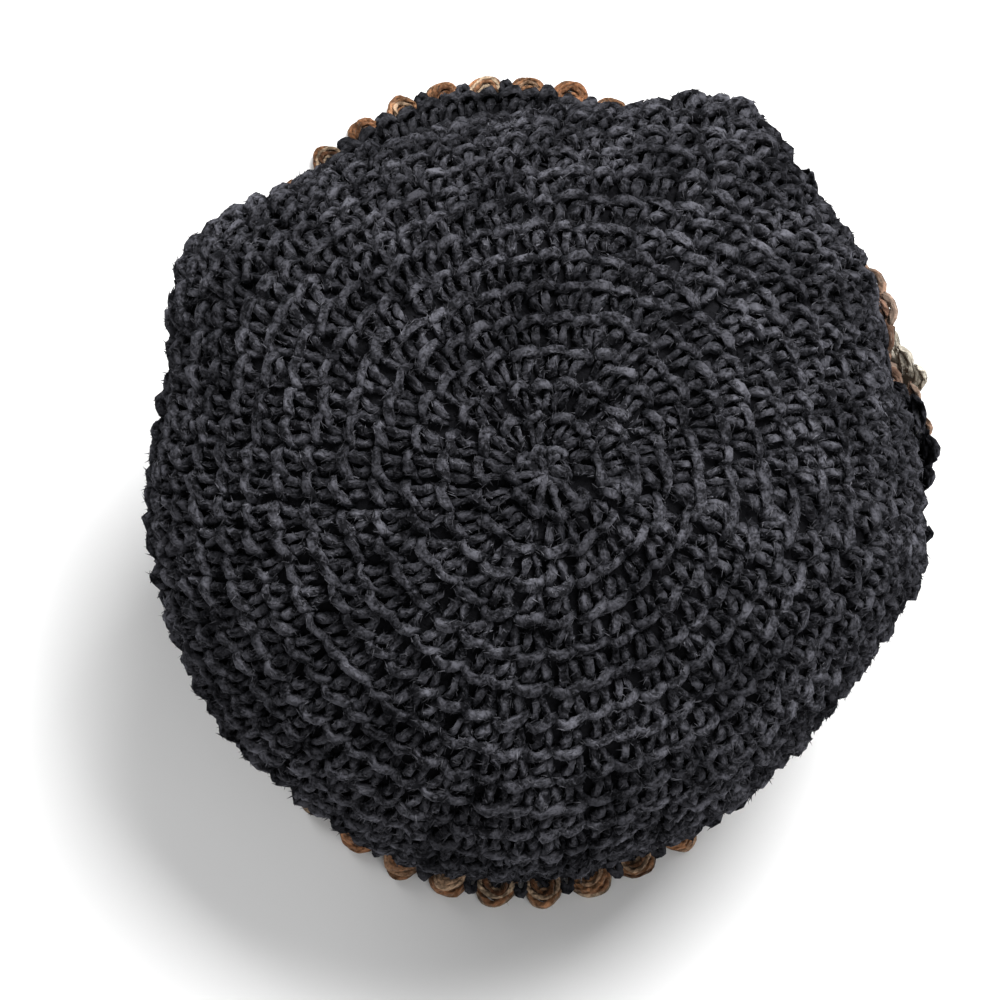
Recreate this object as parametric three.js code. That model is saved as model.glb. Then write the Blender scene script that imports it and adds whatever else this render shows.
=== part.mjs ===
// A crocheted cloche hat. One wool wall runs from the middle of the crown, over a soft edge that
// leans back, down to the head opening. A flared brim follows, edged with a round of brown shells.
// A layered crochet flower is sewn to the wearer's right side. Millimetres, +Z up: the hat stands
// on the flat underside of its shell edging, with its front towards -Y and its back towards +Y.
import * as THREE from 'three';
import { mergeVertices } from 'three/addons/utils/BufferGeometryUtils.js';

// Driving dimensions.
const WALL = 5; // thickness of the crocheted fabric
const GAP = 0.4; // left between two pieces that are sewn together
const HEAD_HALF_WIDTH = 84; // outside of the head opening, across
const HEAD_HALF_LENGTH = 100; // outside of the head opening, front to back
const HEAD_HEIGHT = 31; // of the narrowest round above the ground
const RIM_HALF_WIDTH = 103; // edge of the brim's black fabric, across
const RIM_HALF_LENGTH = 144; // the same, front to back
const RIM_SWING = -4; // how far the back of the brim's edge swings aside, to the wearer's right
const RIM_HEIGHT = 2.6; // underside of the brim's edge above the ground
const SHELLS = 44; // scallops in the brown edging
const SHELL_REACH = 9.5; // how far a scallop stands out from the brim
const SHELL_ROOT = 2.6; // the edging's width between two scallops
const SHELL_THICK = 6.2; // height of the edging, which lies flat on the ground
const STEPS_AROUND = 60; // facets around the crown and the brim

// Rounds of the crown, from its tip to the head opening: half-sizes across and front to back, the
// place of the round's centre, how far the round leans back in degrees, and how much of the folds
// and of the gathers it takes.
const CROWN_ROUNDS = [
  { name: 'tip', across: 0, along: 0, x: -11, y: 70, z: 163, lean: 22, fold: 0, gather: 0 },
  { name: 'first_rounds', across: 22, along: 22, x: -11, y: 69.5, z: 162, lean: 22, fold: 0, gather: 0 },
  { name: 'top_inner', across: 52, along: 52, x: -10.5, y: 68.5, z: 157, lean: 22, fold: 0.05, gather: 0 },
  { name: 'top_middle', across: 80, along: 80, x: -10, y: 66, z: 147.5, lean: 22, fold: 0.25, gather: 0 },
  { name: 'top_outer', across: 102.5, along: 102, x: -9, y: 61.5, z: 132, lean: 22, fold: 0.7, gather: 0 },
  { name: 'edge', across: 115, along: 115, x: -8.5, y: 54, z: 112, lean: 22, fold: 1, gather: 0.1 },
  { name: 'under_edge', across: 112.5, along: 113, x: -8, y: 49, z: 93, lean: 20, fold: 0.75, gather: 0.5 },
  { name: 'hang', across: 100, along: 107, x: -5.5, y: 29.5, z: 68, lean: 13, fold: 0.3, gather: 1 },
  { name: 'gather', across: 88.5, along: 102, x: -2, y: 9.5, z: 47, lean: 5, fold: 0.1, gather: 0.6 },
  {
    name: 'head_opening', across: HEAD_HALF_WIDTH, along: HEAD_HALF_LENGTH,
    x: 0, y: 0, z: HEAD_HEIGHT, lean: 0, fold: 0, gather: 0,
  },
];

// Folds of the crown's edge. An angle of 0 is the front and 90 the wearer's right.
const FOLDS = [
  { name: 'front_right_corner', angle: 28, spread: 8, out: 14.5 },
  { name: 'front_hollow', angle: -13, spread: 14, out: -5.2 },
  { name: 'front_left_corner', angle: -61.5, spread: 11, out: 16 },
  { name: 'left_dent', angle: -69.5, spread: 9, out: -11.5 },
  { name: 'right_ridge', angle: 51, spread: 7, out: 4 },
  { name: 'flower_dent', angle: 71, spread: 8, out: -6 },
  { name: 'right_dent', angle: 94, spread: 7, out: -3 },
  { name: 'right_swell', angle: 100, spread: 7, out: 5.5 },
  { name: 'back_right_flat', angle: 128, spread: 20, out: -7.5 },
  { name: 'back_right_dent', angle: 163, spread: 8, out: -4 },
];
const GATHERS = { count: 9, depth: 3 }; // soft waves where the wide edge narrows to the head opening

// Rounds of the brim, from the head opening out to its edge, at the outer face.
const BRIM_ROUNDS = [
  { name: 'head_opening', share: 0, height: HEAD_HEIGHT - GAP },
  { name: 'turn', share: 0.12, height: HEAD_HEIGHT - 10 },
  { name: 'flare', share: 0.42, height: 17 },
  { name: 'slope', share: 0.74, height: 11.5 },
  { name: 'edge', share: 1, height: RIM_HEIGHT + WALL },
];

// Layers of the flower: petals, reach up the hat from its middle, how much wider the layer is
// sideways and how far it sits towards the back, how deep the notches between petals go, how far it
// stands off the hat at its root and at its petal tips, how much its front side is lifted for each
// millimetre from its middle, and the turn of its first notch from straight up the hat.
const FLOWER_ANGLE = 68.5; // place around the hat
const FLOWER_ALONG = 0.745; // place down the crown, as a share of the way from tip to opening
// Past a distance from its middle, each end of the flower curls off the hat by so much a millimetre.
const FLOWER_CURL = { from: 32, front: 0.75, back: 0.4 };
const PETAL_THICK = 3.4;
const FLOWER_LAYERS = [
  {
    name: 'flower_outer_petals', petals: 7, reach: 43, wide: 1.32, aside: 3.5, notch: 0.45,
    root: 0.8, lift: 3.8, tilt: 0, turn: 0,
  },
  {
    name: 'flower_middle_petals', petals: 5, reach: 37, wide: 1.06, aside: 0, notch: 0.52,
    root: 5, lift: 7.6, tilt: 0.2, turn: 66,
  },
  {
    name: 'flower_inner_petals', petals: 5, reach: 27, wide: 1.1, aside: 0, notch: 0.42,
    root: 9.2, lift: 13.2, tilt: 0, turn: 20,
  },
];
const FLOWER_BUTTON = { radius: 8.5, height: 5.5, root: 13.6 };

const BLACK_WOOL = { color: 0x1b1b20, roughness: 0.95, metalness: 0 };
const BROWN_WOOL = { color: 0x8a5f41, roughness: 0.9, metalness: 0 };
const TAN_WOOL = { color: 0xa98569, roughness: 0.92, metalness: 0 };
const CREAM_WOOL = { color: 0xc9c1b2, roughness: 0.92, metalness: 0 };

const radians = THREE.MathUtils.degToRad;

// The direction on the ground at an angle around the hat: 0 is the front, 90 the wearer's right.
function facing(angle) {
  return new THREE.Vector2(-Math.sin(radians(angle)), -Math.cos(radians(angle)));
}

// How far the folds push the crown's edge out at an angle.
function foldOut(angle) {
  let out = 0;
  for (const fold of FOLDS) {
    const away = THREE.MathUtils.euclideanModulo(angle - fold.angle + 180, 360) - 180;
    out += fold.out * Math.exp(-((away / fold.spread) ** 2) / 2);
  }
  return out;
}

// The point of one round of the crown at an angle.
function crownPoint(round, angle) {
  const way = facing(angle);
  const gather = GATHERS.depth * Math.cos(radians(GATHERS.count * angle));
  const out = foldOut(angle) * round.fold + gather * round.gather;
  const aside = way.x * (round.across + out);
  const back = way.y * (round.along + out);
  const lean = radians(round.lean);
  return new THREE.Vector3(
    round.x + aside,
    round.y + back * Math.cos(lean),
    round.z - back * Math.sin(lean),
  );
}

// The crown's outer face as a curve from its tip to the head opening, at an angle.
function crownMeridian(angle) {
  const points = CROWN_ROUNDS.map((round) => crownPoint(round, angle));
  return new THREE.CatmullRomCurve3(points, false, 'centripetal');
}

// How far the brim's edge lies aside in a direction: nothing in front, all of its swing behind.
function rimSwing(way) {
  return (RIM_SWING * (1 + way.y)) / 2;
}

// A point of the brim's outer face, from the head opening (0) to its edge (1), at an angle.
function brimPoint(round, angle) {
  const way = facing(angle);
  const halfWidth = THREE.MathUtils.lerp(HEAD_HALF_WIDTH, RIM_HALF_WIDTH, round.share);
  const halfLength = THREE.MathUtils.lerp(HEAD_HALF_LENGTH, RIM_HALF_LENGTH, round.share);
  const aside = rimSwing(way) * round.share;
  return new THREE.Vector3(way.x * halfWidth + aside, way.y * halfLength, round.height);
}

function brimMeridian(angle) {
  const points = BRIM_ROUNDS.map((round) => brimPoint(round, angle));
  return new THREE.CatmullRomCurve3(points, false, 'centripetal');
}

// Evenly spaced points of the outer face, one row for each angle around the hat.
function outerFace(meridian, stepsDown) {
  const rows = [];
  for (let i = 0; i < STEPS_AROUND; i += 1) {
    rows.push(meridian((i * 360) / STEPS_AROUND).getSpacedPoints(stepsDown));
  }
  return rows;
}

// The outward direction of each point of a face, from its neighbours around and along it.
function outwardOf(rows, i, j) {
  const around = rows[(i + 1) % rows.length][j].clone();
  around.sub(rows[(i + rows.length - 1) % rows.length][j]);
  const last = rows[i].length - 1;
  const down = rows[i][Math.min(j + 1, last)].clone().sub(rows[i][Math.max(j - 1, 0)]);
  return around.cross(down).normalize();
}

// A closed solid from a loop of sections that go round clockwise, seen from outside. Each is a
// closed ring of points, with its outer side first.
function loopOfSections(sections) {
  const count = sections[0].length;
  const positions = [];
  const quad = (a, b, c, d) => {
    for (const corner of [a, b, c, a, c, d]) positions.push(corner.x, corner.y, corner.z);
  };
  sections.forEach((section, i) => {
    const next = sections[(i + 1) % sections.length];
    for (let j = 0; j < count; j += 1) {
      const k = (j + 1) % count;
      quad(section[j], next[j], next[k], section[k]);
    }
  });
  return weld(positions);
}

// A mesh with its shared corners merged and its flat slivers dropped.
function weld(positions) {
  const loose = new THREE.BufferGeometry();
  loose.setAttribute('position', new THREE.Float32BufferAttribute(positions, 3));
  const merged = mergeVertices(loose, 1e-3);
  const index = merged.index.array;
  const kept = [];
  for (let i = 0; i < index.length; i += 3) {
    const [a, b, c] = index.slice(i, i + 3);
    if (a !== b && b !== c && c !== a) kept.push(a, b, c);
  }
  merged.setIndex(kept);
  merged.computeVertexNormals();
  return merged;
}

// A wall of even thickness inside an outer face. Each section goes down the outer face and back
// up the inner one. On the crown, all sections share the tip.
function wallInside(rows, shared) {
  const sections = rows.map((row, i) => {
    const inner = row.map((point, j) => {
      const outward = shared && j === 0 ? tipOutward(rows) : outwardOf(rows, i, j);
      return point.clone().addScaledVector(outward, -WALL);
    });
    return [...row, ...inner.reverse()];
  });
  return loopOfSections(sections);
}

// Straight out of the crown's tip, from the first ring of points around it.
function tipOutward(rows) {
  const sum = new THREE.Vector3();
  rows.forEach((row, i) => {
    const next = rows[(i + 1) % rows.length];
    const here = row[1].clone().sub(row[0]);
    const there = next[1].clone().sub(row[0]);
    sum.add(there.cross(here));
  });
  return sum.normalize();
}

function crown() {
  const stepsDown = 20;
  return wallInside(outerFace(crownMeridian, stepsDown), true);
}

function brim() {
  const stepsDown = 6;
  return wallInside(outerFace(brimMeridian, stepsDown), false);
}

// The round of shells: a flat band along the brim's edge whose outer side swells into scallops.
function shellEdging() {
  const stepsPerShell = 6;
  const steps = SHELLS * stepsPerShell;
  const sections = [];
  for (let i = 0; i < steps; i += 1) {
    const angle = (i * 360) / steps;
    const swell = Math.abs(Math.sin((Math.PI * i) / stepsPerShell)) ** 0.7;
    const reach = SHELL_ROOT + (SHELL_REACH - SHELL_ROOT) * swell;
    const way = facing(angle);
    const edge = new THREE.Vector2(way.x * RIM_HALF_WIDTH + rimSwing(way), way.y * RIM_HALF_LENGTH);
    const out = new THREE.Vector2(way.x / RIM_HALF_WIDTH, way.y / RIM_HALF_LENGTH).normalize();
    const at = (distance, height) => new THREE.Vector3(
      edge.x + out.x * distance,
      edge.y + out.y * distance,
      height,
    );
    sections.push([
      at(GAP, SHELL_THICK * 0.85),
      at(GAP + reach * 0.6, SHELL_THICK),
      at(GAP + reach, SHELL_THICK * 0.45),
      at(GAP + reach * 0.8, 0),
      at(GAP, 0),
    ]);
  }
  return loopOfSections(sections);
}

// A place over the crown's outer face, from millimetres to the side of the flower's middle,
// millimetres up the hat from it and a height over the face.
function flowerBed() {
  const middle = crownMeridian(FLOWER_ANGLE);
  const length = middle.getLength();
  const rate = 1; // degrees between two meridians that measure the width of one degree
  const beside = crownMeridian(FLOWER_ANGLE + rate).getPointAt(FLOWER_ALONG);
  const degreesPerMm = rate / beside.distanceTo(middle.getPointAt(FLOWER_ALONG));
  const place = (side, up) => {
    const along = THREE.MathUtils.clamp(FLOWER_ALONG - up / length, 0, 1);
    return crownMeridian(FLOWER_ANGLE + side * degreesPerMm).getPointAt(along);
  };
  return (side, up, height) => {
    const reach = 4;
    const point = place(side, up);
    const across = place(side + reach, up).sub(place(side - reach, up));
    const upward = place(side, up + reach).sub(place(side, up - reach));
    const curl = side < 0 ? FLOWER_CURL.front : FLOWER_CURL.back;
    const lifted = height + curl * Math.max(0, Math.abs(side) - FLOWER_CURL.from);
    return point.addScaledVector(upward.cross(across).normalize(), lifted);
  };
}

// One layer of the flower: a disc with rounded petals that follows the hat and lifts off it.
function petalLayer(layer, bed) {
  const stepsPerPetal = 6;
  const steps = layer.petals * stepsPerPetal;
  const rings = [0.4, 0.78, 1]; // shares of a petal's reach, where it has a point on each face
  const hubHalf = PETAL_THICK / 2;
  const sections = [];
  for (let i = 0; i < steps; i += 1) {
    const turn = radians((i * 360) / steps + layer.turn);
    const swell = Math.abs(Math.sin((Math.PI * i) / stepsPerPetal)) ** 0.6;
    const reach = layer.reach * (1 - layer.notch * (1 - swell));
    const front = [bed(0, 0, layer.root + 2 * hubHalf)];
    const back = [bed(0, 0, layer.root)];
    for (const ring of rings) {
      const distance = ring * reach;
      const side = ring * layer.aside - Math.sin(turn) * distance * layer.wide;
      const up = Math.cos(turn) * distance;
      const lift = layer.lift + layer.tilt * Math.max(0, -side);
      const rise = layer.root + (lift - layer.root) * (distance / layer.reach) ** 1.6;
      const half = hubHalf * Math.sqrt(1 - (ring * 0.94) ** 4);
      front.push(bed(side, up, rise + hubHalf + half));
      back.push(bed(side, up, rise + hubHalf - half));
    }
    sections.push([...front, ...back.reverse()]);
  }
  return loopOfSections(sections);
}

// The crocheted button in the flower's middle.
function flowerButton(bed) {
  const { radius, height, root } = FLOWER_BUTTON;
  const steps = 12;
  const sections = [];
  for (let i = 0; i < steps; i += 1) {
    const turn = radians((i * 360) / steps);
    const at = (share, rise) => bed(
      -Math.sin(turn) * radius * share,
      Math.cos(turn) * radius * share,
      root + rise,
    );
    sections.push([at(0, height), at(0.55, height * 0.9), at(1, height * 0.5), at(0.8, 0), at(0, 0)]);
  }
  return loopOfSections(sections);
}

function piece(name, geometry, material) {
  const mesh = new THREE.Mesh(geometry, new THREE.MeshStandardMaterial(material));
  mesh.name = name;
  return mesh;
}

const hat = new THREE.Group();
hat.name = 'crochet_cloche_hat';
hat.add(piece('crown', crown(), BLACK_WOOL));
hat.add(piece('brim', brim(), BLACK_WOOL));
hat.add(piece('shell_edging', shellEdging(), BROWN_WOOL));

const bed = flowerBed();
const layerWool = {
  flower_outer_petals: BLACK_WOOL,
  flower_middle_petals: TAN_WOOL,
  flower_inner_petals: CREAM_WOOL,
};
for (const layer of FLOWER_LAYERS) {
  hat.add(piece(layer.name, petalLayer(layer, bed), layerWool[layer.name]));
}
hat.add(piece('flower_button', flowerButton(bed), BROWN_WOOL));

// The frame's origin is on the ground under the middle of the hat's box.
const box = new THREE.Box3().setFromObject(hat);
const middle = box.getCenter(new THREE.Vector3());
hat.position.set(-middle.x, -middle.y, -box.min.z);

export default hat;
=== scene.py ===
# A slouchy crocheted cloche hat in thick black wool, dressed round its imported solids. Rounds of
# yarn stitches cover the crown and the brim inside and out, brown shells edge the brim, and a
# crocheted flower sits on the wearer's right. Sizes are in millimetres unless a name says
# otherwise, and every mesh is made in metres in the frame's own place.
import math
import random
from collections import namedtuple

import bmesh
import bpy
import numpy as np
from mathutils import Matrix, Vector


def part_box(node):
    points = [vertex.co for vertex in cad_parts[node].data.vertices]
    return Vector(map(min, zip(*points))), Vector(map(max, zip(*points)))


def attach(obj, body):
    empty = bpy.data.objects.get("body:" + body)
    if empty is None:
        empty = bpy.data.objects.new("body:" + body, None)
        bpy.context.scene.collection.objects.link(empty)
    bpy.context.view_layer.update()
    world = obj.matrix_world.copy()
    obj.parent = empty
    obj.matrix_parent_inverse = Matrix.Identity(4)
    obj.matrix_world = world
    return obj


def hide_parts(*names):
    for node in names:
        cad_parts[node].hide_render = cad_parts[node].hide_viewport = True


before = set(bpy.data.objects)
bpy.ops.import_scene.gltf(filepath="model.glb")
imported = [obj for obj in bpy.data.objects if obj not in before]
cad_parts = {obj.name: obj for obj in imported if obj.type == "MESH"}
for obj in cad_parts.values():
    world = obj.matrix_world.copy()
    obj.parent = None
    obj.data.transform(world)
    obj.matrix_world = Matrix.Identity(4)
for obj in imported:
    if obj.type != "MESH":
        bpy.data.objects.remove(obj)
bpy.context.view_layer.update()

MM = 0.001
BODY = "root"

# Sizes of the hat, as its solids have them.
WALL = 5
HEAD_HALF_WIDTH = 84
HEAD_HALF_LENGTH = 100
HEAD_HEIGHT = 31
RIM_HALF_WIDTH = 103
RIM_HALF_LENGTH = 144
RIM_SWING = -4
RIM_HEIGHT = 2.6
SHELLS = 44

# The hat's own middle lies here in the frame. Its edging swings aside by half of the rim's swing.
RIM_LOW, RIM_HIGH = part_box("shell_edging")
SHIFT = np.array([
    (RIM_LOW.x + RIM_HIGH.x) / 2 - RIM_SWING / 2 * MM,
    (RIM_LOW.y + RIM_HIGH.y) / 2,
    0,
])

# Rounds of the crown's outer face, from its tip to the head opening.
Round = namedtuple("Round", "across along x y z lean fold gather")
CROWN_ROUNDS = [
    Round(0, 0, -11, 70, 163, 22, 0, 0),
    Round(22, 22, -11, 69.5, 162, 22, 0, 0),
    Round(52, 52, -10.5, 68.5, 157, 22, 0.05, 0),
    Round(80, 80, -10, 66, 147.5, 22, 0.25, 0),
    Round(102.5, 102, -9, 61.5, 132, 22, 0.7, 0),
    Round(115, 115, -8.5, 54, 112, 22, 1, 0.1),
    Round(112.5, 113, -8, 49, 93, 20, 0.75, 0.5),
    Round(100, 107, -5.5, 29.5, 68, 13, 0.3, 1),
    Round(88.5, 102, -2, 9.5, 47, 5, 0.1, 0.6),
    Round(HEAD_HALF_WIDTH, HEAD_HALF_LENGTH, 0, 0, HEAD_HEIGHT, 0, 0, 0),
]
EDGE_ROUND = 5  # the row above where the crown is widest

# Folds of the crown's edge, by their angle from the front towards the wearer's right.
Fold = namedtuple("Fold", "angle spread out")
FOLDS = [
    Fold(28, 8, 14.5),
    Fold(-13, 14, -5.2),
    Fold(-61.5, 11, 16),
    Fold(-69.5, 9, -11.5),
    Fold(51, 7, 4),
    Fold(71, 8, -6),
    Fold(94, 7, -3),
    Fold(100, 7, 5.5),
    Fold(128, 20, -7.5),
    Fold(163, 8, -4),
]
GATHERS = 9  # waves all round where the crown is drawn in to the head opening
GATHER_DEPTH = 3

# Rounds of the brim's outer face: the share of the way out, and the height.
BRIM_ROUNDS = [(0, 30.6), (0.12, 21), (0.42, 17), (0.74, 11.5), (1, RIM_HEIGHT + WALL)]

# Crochet. The crown's rounds are one spiral, which starts in a ring of posts at its tip. Each
# round of the top has more stitches than the last, and each round of the side has fewer.
TOP_ROUNDS = 14  # from the tip to the crown's edge
SIDE_ROUNDS = 9  # from the edge to the head opening
BRIM_STITCH_ROUNDS = 4
SPIRAL_START = 100  # the angle at which one round of the spiral goes over into the next
SPIRAL_LEVELS_OVER = 4  # rounds before the head opening in which the spiral levels out
ROUND_STARTS_LATER = 0.37  # than the last one, in stitches
FIRST_ROUND_STITCHES = 11
STITCHES_BEFORE_INCREASES = 8
INCREASES_A_ROUND = 7
OPENING_STITCHES = 72
RIM_STITCHES = 2 * SHELLS
STITCH_WIDTH = 8.0
STITCH_HEIGHT = 10.0
LEAST_WIDTH = 0.6  # of a stitch that is squeezed near the middle, as a share of its full width
STRAY = (0.8, 0.6, 0.3)  # how far a stitch may stray sideways, down its round and outward
STRAY_SEED = 100
VARIANTS = "abc"  # of each kind of stitch

# Depths below the outer face: the stitches sink in so that their loops end at it.
STITCH_DEPTH = 3.0
INNER_STITCH_DEPTH = WALL - 0.8
CORE_OUTER_DEPTH = 3.3
CORE_INNER_DEPTH = 4.1

# Yarn.
YARN_RADIUS = 1.4
YARN_END = 0.55  # radius of a strand's ends, as a share of the strand's own
PLY_SPACING = 4  # from ply to ply along a strand, in radii of the strand
WANDER = 2.2  # unevenness of the yarn's way over nearly a centimetre
LUMPS = 3.3  # unevenness of the yarn over a millimetre or two
WANDER_SCALE, LUMP_SCALE = 130.0, 700.0  # of their noise, to a metre
LINT_SHARE = 0.28  # of the finest mottles in the yarn's shade

# Loose fibres. Their numbers are for a square centimetre of yarn.
TUFT_RADIUS = 0.27  # of the tufts that stand off the black yarn
TUFT_LENGTH = 2.2
TUFT_LEAN = (1.3, 1.6)  # least and most, in radians away from the yarn's outward direction
FIRST_ROUND_TUFTS, TOP_TUFTS, SIDE_TUFTS, BRIM_TUFTS = 30, 34, 13, 11
HAIR_RADIUS = 0.09  # of the loose hairs of the other yarns
HAIR_LEAN = (0.7, 1.5)
HAIR_FROM, SHELL_HAIR_FROM = 0.6, 2.0  # height over the fabric from which yarn has fibres
SHELL_HAIRS, SHELL_HAIR_LENGTH = 20, 1.8
PETAL_HAIRS, PETAL_HAIR_LENGTH = 30, 2.4

# Shells, each bent over the brim's edge.
SHELL_HALF_WIDTH = 5.9
SHELL_TALL = 7.4
SHELL_OUT = 0.9  # beyond the edge
SHELL_RISE = 0.9  # so that no strand of a shell sinks under the floor
SHELL_MIDDLE_OUT = -0.6
SHELL_TURN_FROM, SHELL_TURN_STEP = -108, 36  # of the seven points of a strand's arch, in degrees

# Flower, as its solids have it.
Layer = namedtuple("Layer", "node petals reach wide aside notch root lift tilt turn")
FLOWER_ANGLE = 68.5
FLOWER_ALONG = 0.745  # of the way from the crown's tip to the head opening
FLOWER_CURL_FROM = 32  # beside its middle, where the petals begin to curl off the crown
FLOWER_CURL_FRONT = 0.75  # rise of that curl towards the hat's front
FLOWER_CURL_BACK = 0.4
PETAL_THICK = 3.4
PETAL_RUFFLE = 1.3
PETAL_FULLNESS = 0.6  # the lower it is, the rounder is a petal's outline
PETAL_CUP = 1.6  # the higher it is, the later a petal lifts on its way out
FLOWER_LAYERS = [
    Layer("flower_outer_petals", 7, 43, 1.32, 3.5, 0.45, 0.8, 3.8, 0, 0),
    Layer("flower_middle_petals", 5, 37, 1.06, 0, 0.52, 5, 7.6, 0.2, 66),
    Layer("flower_inner_petals", 5, 27, 1.1, 0, 0.42, 9.2, 13.2, 0, 20),
]
BUTTON_RADIUS = 8.5
BUTTON_HEIGHT = 5.5
BUTTON_ROOT = 13.6

# Yarn of the flower, with the gap between the stitches of each layer.
Look = namedtuple("Look", "yarn core gap fibre")
PETAL_LOOKS = [
    # The black layer's core is painted near-black, as the shade between its stitches.
    Look("black_wool", "black_core", 6.6, "grey_fuzz"),
    Look("tan_wool", "tan_wool", 6.0, "tan_fuzz"),
    Look("cream_wool", "cream_wool", 5.2, "cream_fuzz"),
]
PETAL_CORE_SHARE = 0.6  # thickness of a layer's core, as a share of its solid's
PETAL_STITCH_RISE = 0.62  # height of a petal's stitches, as a share of the crown's
PETAL_EDGE_AT = 0.955  # share of the reach at which the edge's two cords wind
PETAL_EDGE_RADIUS = 0.95
BUTTON_TURNS = 3.4
BUTTON_YARN_RADIUS = 1.75
FLOWER_YARN_HEIGHT = 2.6  # height over the fabric given to the edges and the button, so that the painted shade of low strands darkens them only a little, as nothing hides them

# The photograph's view: from behind and high above.
CAMERA_ELEVATION = 68
CAMERA_DISTANCE = 900
CAMERA_FOCAL_PIXELS = 2650
PICTURE_PIXELS = 1000
CAMERA_AIM = (2.3, 11.9, 0)  # from the hat's own middle


# Surfaces of the hat.

def smooth_rows(rows, steps):
    """Centripetal curves through rows of control points, with even steps from row to row."""
    first = 2 * rows[0] - rows[1]
    last = 2 * rows[-1] - rows[-2]
    p = np.concatenate([[first], rows, [last]])
    span = np.sqrt(np.linalg.norm(np.diff(p, axis=0), axis=-1, keepdims=True)).clip(0.01)
    out = []
    for i in range(1, len(p) - 2):
        before, here, after = span[i - 1], span[i], span[i + 1]
        chord = (p[i + 1] - p[i]) / here
        leave = ((p[i] - p[i - 1]) / before - (p[i + 1] - p[i - 1]) / (before + here) + chord) * here
        reach = (chord - (p[i + 2] - p[i]) / (here + after) + (p[i + 2] - p[i + 1]) / after) * here
        for t in np.arange(steps) / steps:
            out.append(
                p[i] * (1 - 3 * t ** 2 + 2 * t ** 3)
                + p[i + 1] * (3 * t ** 2 - 2 * t ** 3)
                + leave * (t - 2 * t ** 2 + t ** 3)
                + reach * (t ** 3 - t ** 2)
            )
    out.append(p[-2])
    return np.array(out)


def spread_rows(rows, shares):
    """Points at shares of the length of each column of rows. The shares are the same for all the
    columns, or have a column of their own for each."""
    steps = np.linalg.norm(np.diff(rows, axis=0), axis=-1)
    length = np.concatenate([np.zeros((1, rows.shape[1])), np.cumsum(steps, axis=0)])
    wanted = np.reshape(shares, (len(shares), -1)) * length[-1]
    out = np.empty((*wanted.shape, 3))
    for j in range(rows.shape[1]):
        for axis in range(3):
            out[:, j, axis] = np.interp(wanted[:, j], length[:, j], rows[:, j, axis])
    return out


def unit(vectors):
    """The directions of vectors."""
    return vectors / np.linalg.norm(vectors, axis=-1, keepdims=True)


def square_to(directions, vectors):
    """The directions of vectors after the part of them along other directions is taken away."""
    return unit(vectors - directions * (vectors * directions).sum(axis=-1, keepdims=True))


def facing(angles):
    """Directions over the ground: 0 is the hat's front, 90 the wearer's right."""
    return -np.sin(np.radians(angles)), -np.cos(np.radians(angles))


def crown_rows(angles):
    """Control points of the crown's outer face, a row for each of its rounds."""
    fold = np.zeros_like(angles)
    for f in FOLDS:
        away = (angles - f.angle + 180) % 360 - 180
        fold += f.out * np.exp(-(away / f.spread) ** 2 / 2)
    gather = GATHER_DEPTH * np.cos(np.radians(GATHERS * angles))
    aside, back = facing(angles)
    rows = []
    for r in CROWN_ROUNDS:
        out = fold * r.fold + gather * r.gather
        lean = math.radians(r.lean)
        x = r.x + aside * (r.across + out)
        y = r.y + back * (r.along + out) * math.cos(lean)
        z = r.z - back * (r.along + out) * math.sin(lean)
        rows.append(np.stack([x, y, z], axis=-1))
    return np.array(rows)


def brim_rows(angles):
    """Control points of the brim's outer face."""
    aside, back = facing(angles)
    rows = []
    for share, height in BRIM_ROUNDS:
        x = aside * (HEAD_HALF_WIDTH + (RIM_HALF_WIDTH - HEAD_HALF_WIDTH) * share)
        x += RIM_SWING * (1 + back) / 2 * share
        y = back * (HEAD_HALF_LENGTH + (RIM_HALF_LENGTH - HEAD_HALF_LENGTH) * share)
        rows.append(np.stack([x, y, np.full_like(x, height)], axis=-1))
    return np.array(rows)


class Face:
    """An outer face as a grid: rounds go down its rows and angles along its columns."""

    def __init__(self, grid, rounds):
        self.grid = grid
        self.rounds = rounds
        self.rows, self.columns = grid.shape[:2]
        around = np.roll(grid, -1, axis=1) - np.roll(grid, 1, axis=1)
        down = np.gradient(grid, axis=0)
        normal = np.cross(around, down)
        first_row_is_one_point = np.linalg.norm(normal[0], axis=-1).max() < 1e-6
        if first_row_is_one_point:
            normal[0] = normal[1].mean(axis=0)
        self.normal = unit(normal)
        self.down = unit(down)

    def sample(self, field, at_round, angle):
        """A field of the grid at round numbers and angles, blended from its four neighbours."""
        row = np.clip(at_round / self.rounds, 0, 1) * (self.rows - 1)
        column = angle % 360 / 360 * self.columns
        r0 = np.minimum(row.astype(int), self.rows - 2)
        c0 = column.astype(int) % self.columns
        c1 = (c0 + 1) % self.columns
        fr = (row - r0)[..., None]
        fc = (column - column.astype(int))[..., None]
        upper = field[r0, c0] * (1 - fc) + field[r0, c1] * fc
        lower = field[r0 + 1, c0] * (1 - fc) + field[r0 + 1, c1] * fc
        return upper * (1 - fr) + lower * fr

    def at(self, at_round, angle, height):
        """Points at a height over the face, with the outward and the downward directions there."""
        out = unit(self.sample(self.normal, at_round, angle))
        down = square_to(out, self.sample(self.down, at_round, angle))
        return self.sample(self.grid, at_round, angle) + out * height, out, down


GRID_ANGLES = np.arange(0, 360, 1.5)
GRID_ROWS = 8  # in each round of stitches


def crown_face():
    """The crown's outer face: the rounds of its top end at its edge, those of its side below."""
    steps = 24
    rows = smooth_rows(crown_rows(GRID_ANGLES), steps)
    top_shares = np.linspace(0, 1, TOP_ROUNDS * GRID_ROWS + 1)
    side_shares = np.linspace(0, 1, SIDE_ROUNDS * GRID_ROWS + 1)[1:]
    top = spread_rows(rows[: EDGE_ROUND * steps + 1], top_shares)
    side = spread_rows(rows[EDGE_ROUND * steps:], side_shares)
    return Face(np.concatenate([top, side]), TOP_ROUNDS + SIDE_ROUNDS)


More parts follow.
